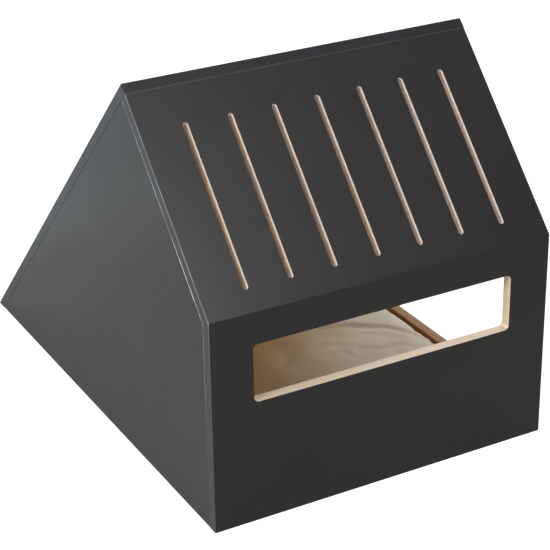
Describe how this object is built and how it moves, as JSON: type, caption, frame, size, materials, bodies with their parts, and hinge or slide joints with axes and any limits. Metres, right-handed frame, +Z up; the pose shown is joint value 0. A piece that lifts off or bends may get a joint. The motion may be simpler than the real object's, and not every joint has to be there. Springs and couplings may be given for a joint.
{
  "type": "cat house",
  "caption": "Tent-shaped wooden cat house with a long window in the front wall, light slots in the roof, one open side with a low sill, and a loose cushion with a zipped cover.",
  "frame": {"origin": "on the ground, under the centre of the house's bounding box", "axes": "+Z up; +X to the viewer's right, towards the open side; -Y is the front, with the window"},
  "size_m": [0.4, 0.6, 0.4236],
  "materials": {
    "painted_board": "satin charcoal lacquer on the outside and on the outer edges, bare pale wood inside and in the cut edges of the window and slots",
    "bare_wood": "bare sanded pale wood board",
    "joint_wood": "beech dowel and plywood tongue",
    "cushion_fabric": "soft woven cotton, sand coloured",
    "cushion_filling": "white fibre filling",
    "zip_tape": "woven zip tape and nylon rows, sand coloured",
    "zip_metal": "dull antique brass"
  },
  "bodies": {
    "house": {"front_panel": "painted_board", "front_roof_panel": "painted_board", "rear_roof_panel": "painted_board", "left_side_panel": "painted_board", "floor_panel": "bare_wood", "entry_sill": "bare_wood", "knee_tongue": "joint_wood", "ridge_dowels": "joint_wood", "side_front_dowels": "joint_wood", "side_roof_dowels": "joint_wood", "side_rear_dowels": "joint_wood", "floor_front_dowels": "joint_wood", "floor_rear_dowels": "joint_wood", "floor_side_dowels": "joint_wood", "floor_sill_dowels": "joint_wood", "sill_front_dowel": "joint_wood", "sill_rear_dowel": "joint_wood"},
    "cushion": {"cushion_top_cover": "cushion_fabric", "cushion_bottom_cover": "cushion_fabric", "cushion_filling": "cushion_filling", "zip_tapes": "zip_tape", "zip_rows": "zip_tape", "zip_stops": "zip_metal"},
    "zip_slider": {"zip_slider": "zip_metal"},
    "zip_pull": {"zip_pull": "zip_metal"}
  },
  "joints": [
    {"name": "cushion_lift", "type": "slide", "parent": "house", "child": "cushion", "axis": [0, 0, 1], "range_m": [0, 0.026]},
    {"name": "zip_open", "type": "slide", "parent": "cushion", "child": "zip_slider", "axis": [-1, 0, 0], "range_m": [0, 0.224]},
    {"name": "zip_pull_swing", "type": "hinge", "parent": "zip_slider", "child": "zip_pull", "pos_m": [0.1125, 0.21083, 0.0373], "axis": [0, 0, -1], "range_deg": [0, 170]}
  ]
}
